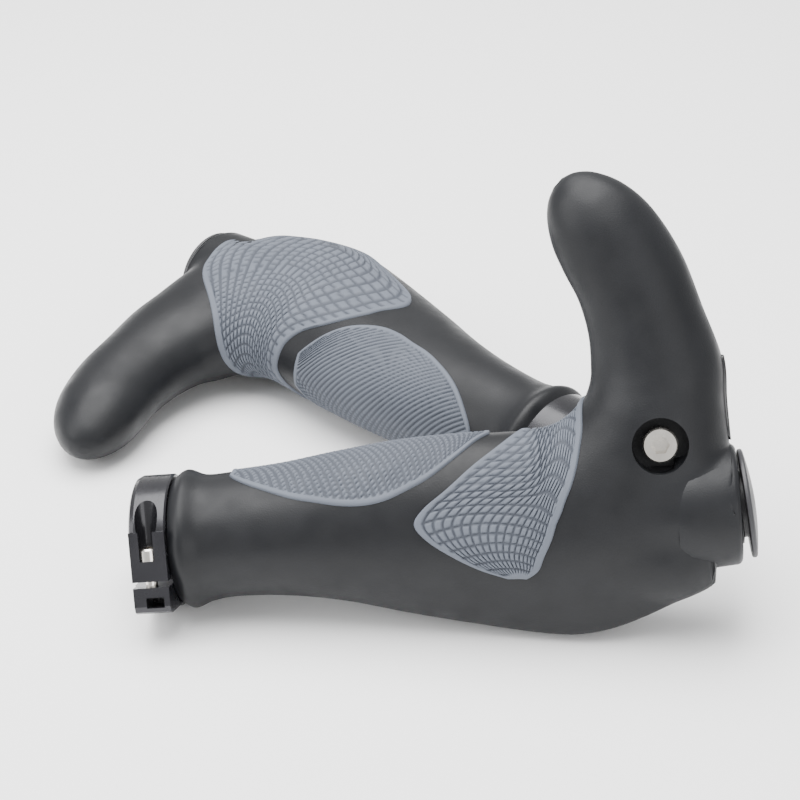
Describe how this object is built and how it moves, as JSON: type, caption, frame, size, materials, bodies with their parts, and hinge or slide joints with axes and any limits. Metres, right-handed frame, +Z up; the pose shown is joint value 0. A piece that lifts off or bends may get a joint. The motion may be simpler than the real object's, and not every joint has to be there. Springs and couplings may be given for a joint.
{
  "type": "bar end grips",
  "caption": "Pair of ergonomic lock-on handlebar grips, each with a palm wing, textured grey pads and a forward bar end horn under a rubber cover.",
  "frame": {"origin": "on the table, below the middle of the pair's box", "axes": "+Z up from the table; +X to the right of the pair as it is laid out, along the standing left grip; +Y away from it towards the lying right grip"},
  "size_m": [0.1843, 0.1712, 0.1046],
  "materials": {
    "black_rubber": "satin soft-touch",
    "grey_rubber": "matte textured",
    "gloss_trim": "gloss",
    "black_nylon": "matte",
    "dark_alloy": "dark anodised",
    "black_anodised": "gloss black anodised",
    "stainless": "bright stainless",
    "plug_plastic": "fine texture"
  },
  "bodies": {
    "right_grip": {"right_cover": "black_rubber", "right_finger_pad": "grey_rubber", "right_palm_pad": "grey_rubber", "right_trim_strip": "gloss_trim", "right_core_sleeve": "black_nylon", "right_horn_core": "black_nylon", "right_clamp": "dark_alloy"},
    "right_clamp_bolt": {"right_clamp_bolt": "stainless"},
    "right_lock_ring": {"right_lock_ring": "black_anodised"},
    "right_lock_ring_bolt": {"right_lock_ring_bolt": "stainless"},
    "right_end_plug": {"right_end_plug": "plug_plastic"},
    "left_grip": {"left_cover": "black_rubber", "left_finger_pad": "grey_rubber", "left_palm_pad": "grey_rubber", "left_trim_strip": "gloss_trim", "left_core_sleeve": "black_nylon", "left_horn_core": "black_nylon", "left_clamp": "dark_alloy"},
    "left_clamp_bolt": {"left_clamp_bolt": "stainless"},
    "left_lock_ring": {"left_lock_ring": "black_anodised"},
    "left_lock_ring_bolt": {"left_lock_ring_bolt": "stainless"},
    "left_end_plug": {"left_end_plug": "plug_plastic"}
  },
  "joints": [
    {"name": "left_grip_lift", "type": "slide", "parent": "right_grip", "child": "left_grip", "axis": [0, 0, 1], "range_m": [0, 0.15]},
    {"name": "right_clamp_bolt_turn", "type": "hinge", "parent": "right_grip", "child": "right_clamp_bolt", "pos_m": [-0.04967, 0.04997, 0.00918], "axis": [0.0937, 0.0784, -0.9925], "range_deg": [0, 720]},
    {"name": "right_lock_ring_slide", "type": "slide", "parent": "right_grip", "child": "right_lock_ring", "axis": [0.6946, -0.7193, 0.0087], "range_m": [0, 0.012]},
    {"name": "right_lock_ring_bolt_turn", "type": "hinge", "parent": "right_lock_ring", "child": "right_lock_ring_bolt", "pos_m": [0.05186, -0.02616, 0.00534], "axis": [-0.7132, -0.6902, -0.1219], "range_deg": [0, 720]},
    {"name": "right_end_plug_pull", "type": "slide", "parent": "right_grip", "child": "right_end_plug", "axis": [-0.6946, 0.7193, -0.0087], "range_m": [0, 0.018]},
    {"name": "left_clamp_bolt_turn", "type": "hinge", "parent": "left_grip", "child": "left_clamp_bolt", "pos_m": [0.0672, -0.06843, 0.04982], "axis": [-0.1054, -0.8951, 0.4332], "range_deg": [0, 720]},
    {"name": "left_lock_ring_slide", "type": "slide", "parent": "left_grip", "child": "left_lock_ring", "axis": [-0.9912, 0.0593, -0.1188], "range_m": [0, 0.012]},
    {"name": "left_lock_ring_bolt_turn", "type": "hinge", "parent": "left_lock_ring", "child": "left_lock_ring_bolt", "pos_m": [-0.05616, -0.07616, 0.0208], "axis": [-0.0806, 0.4419, 0.8934], "range_deg": [0, 720]},
    {"name": "left_end_plug_pull", "type": "slide", "parent": "left_grip", "child": "left_end_plug", "axis": [0.9912, -0.0593, 0.1188], "range_m": [0, 0.018]}
  ]
}
